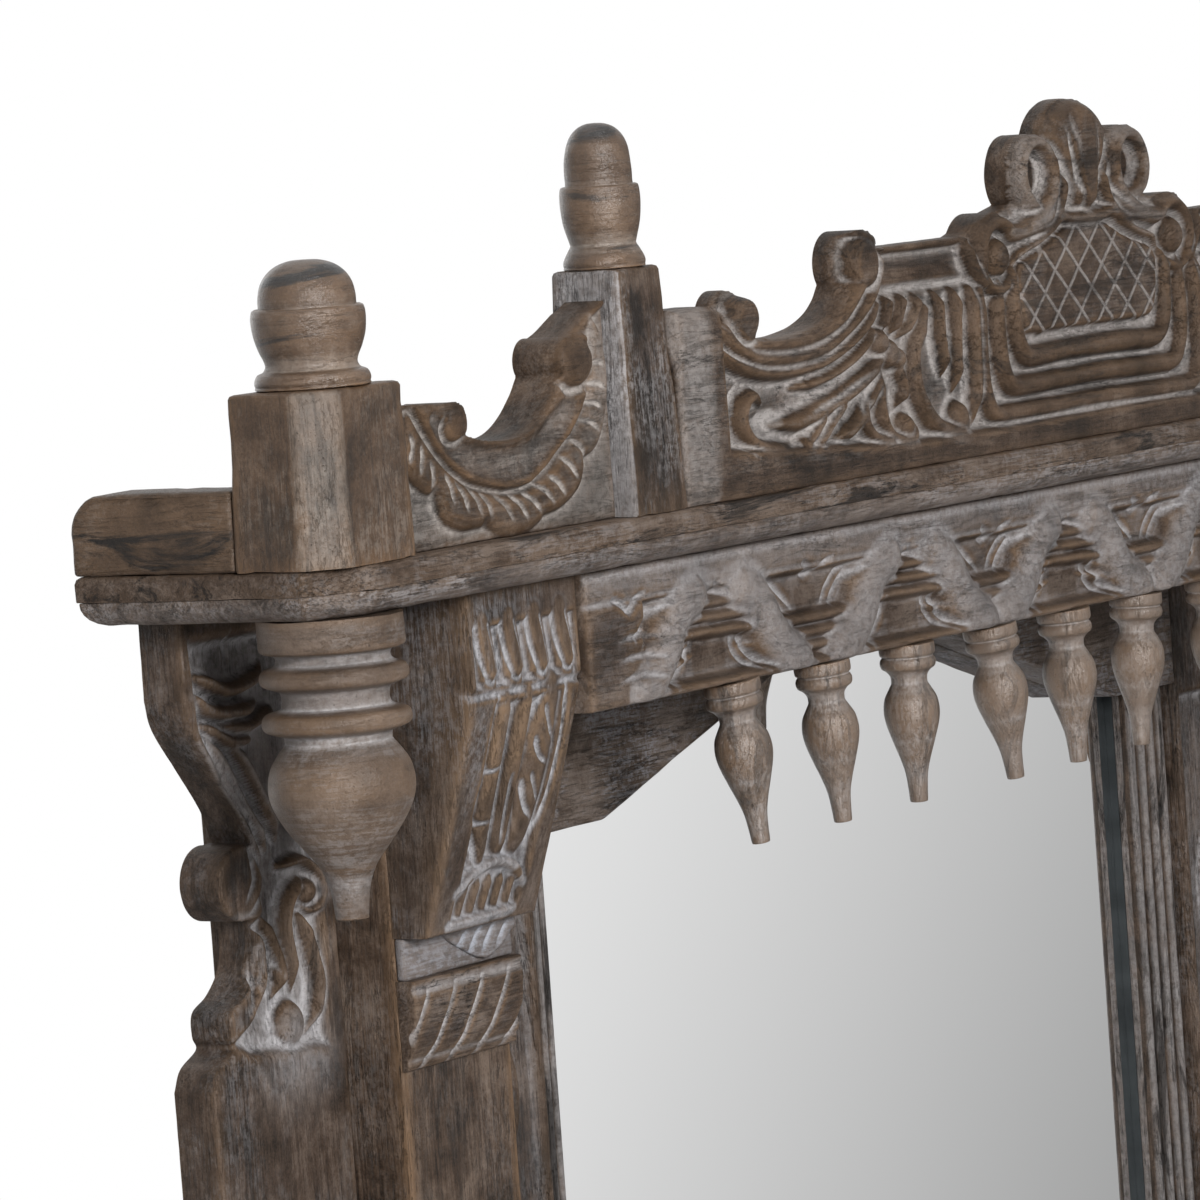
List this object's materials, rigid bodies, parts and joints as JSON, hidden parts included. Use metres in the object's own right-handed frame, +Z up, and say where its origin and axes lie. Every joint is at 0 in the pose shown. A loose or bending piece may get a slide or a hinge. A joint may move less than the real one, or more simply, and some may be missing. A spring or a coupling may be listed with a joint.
{
  "type": "jharokha mirror",
  "caption": "Tall mirror framed as a carved bay window of limewashed wood, with a ledge, turned finials and drops, corbels and shaped wings.",
  "frame": {"origin": "middle of the footprint, at the floor", "axes": "+Z up, +X to the viewer's right, +Y towards the wall behind; the glass faces -Y"},
  "size_m": [1.326, 0.175, 1.597],
  "materials": {
    "wood": "limewashed, worn satin",
    "mirror": "polished",
    "backing": "raw board",
    "steel": "zinc plated"
  },
  "bodies": {
    "root": {"backing_board": "backing", "base_block_left": "wood", "base_block_right": "wood", "bottom_rail": "wood", "capital_left": "wood", "capital_right": "wood", "corbel_left": "wood", "corbel_right": "wood", "corner_finial_left": "wood", "corner_finial_right": "wood", "corner_pendant_left": "wood", "corner_pendant_right": "wood", "corner_post_left": "wood", "corner_post_right": "wood", "crest": "wood", "drop_1": "wood", "drop_2": "wood", "drop_3": "wood", "drop_4": "wood", "drop_5": "wood", "drop_6": "wood", "drop_7": "wood", "drop_8": "wood", "drop_9": "wood", "hanging_plate_left": "steel", "hanging_plate_right": "steel", "head_board_left": "wood", "head_board_right": "wood", "inner_finial_left": "wood", "inner_finial_right": "wood", "inner_post_left": "wood", "inner_post_right": "wood", "ledge_bead": "wood", "ledge_shelf": "wood", "mirror_glass": "mirror", "neck_block_left": "wood", "neck_block_right": "wood", "pilaster_left": "wood", "pilaster_right": "wood", "plate_screw_1_left": "steel", "plate_screw_1_right": "steel", "plate_screw_2_left": "steel", "plate_screw_2_right": "steel", "plinth": "wood", "reeded_moulding_left": "wood", "reeded_moulding_right": "wood", "scroll_bracket_left": "wood", "scroll_bracket_right": "wood", "sill": "wood", "stile_left": "wood", "stile_right": "wood", "upstand_left": "wood", "upstand_right": "wood", "valance": "wood", "wing_left": "wood", "wing_right": "wood"}
  },
  "joints": []
}
